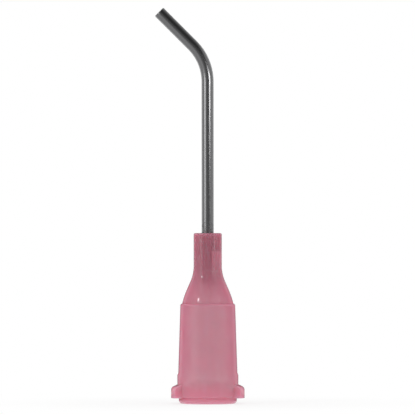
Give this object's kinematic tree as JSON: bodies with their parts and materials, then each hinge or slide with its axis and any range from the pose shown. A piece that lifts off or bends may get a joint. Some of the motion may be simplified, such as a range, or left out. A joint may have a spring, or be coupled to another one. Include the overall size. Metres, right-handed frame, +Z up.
{
  "type": "dispensing needle tip",
  "caption": "Bent steel dispensing cannula held in a moulded hub with a tapered socket and lock lugs, for putting down beads and dots of adhesive, flux or grease.",
  "frame": {"origin": "on the hub's axis, in the plane of the Luer socket's mouth", "axes": "+Z up the hub's axis towards the cannula, -X the side that the cannula bends to, +Y to the back"},
  "size_m": [0.0095, 0.0064, 0.042],
  "materials": {
    "hub_plastic": "smooth translucent moulded polypropylene, dusty pink",
    "cannula_steel": "drawn stainless steel tube with fine lengthwise lines"
  },
  "bodies": {
    "root": {"hub": "hub_plastic", "cannula": "cannula_steel"}
  },
  "joints": []
}
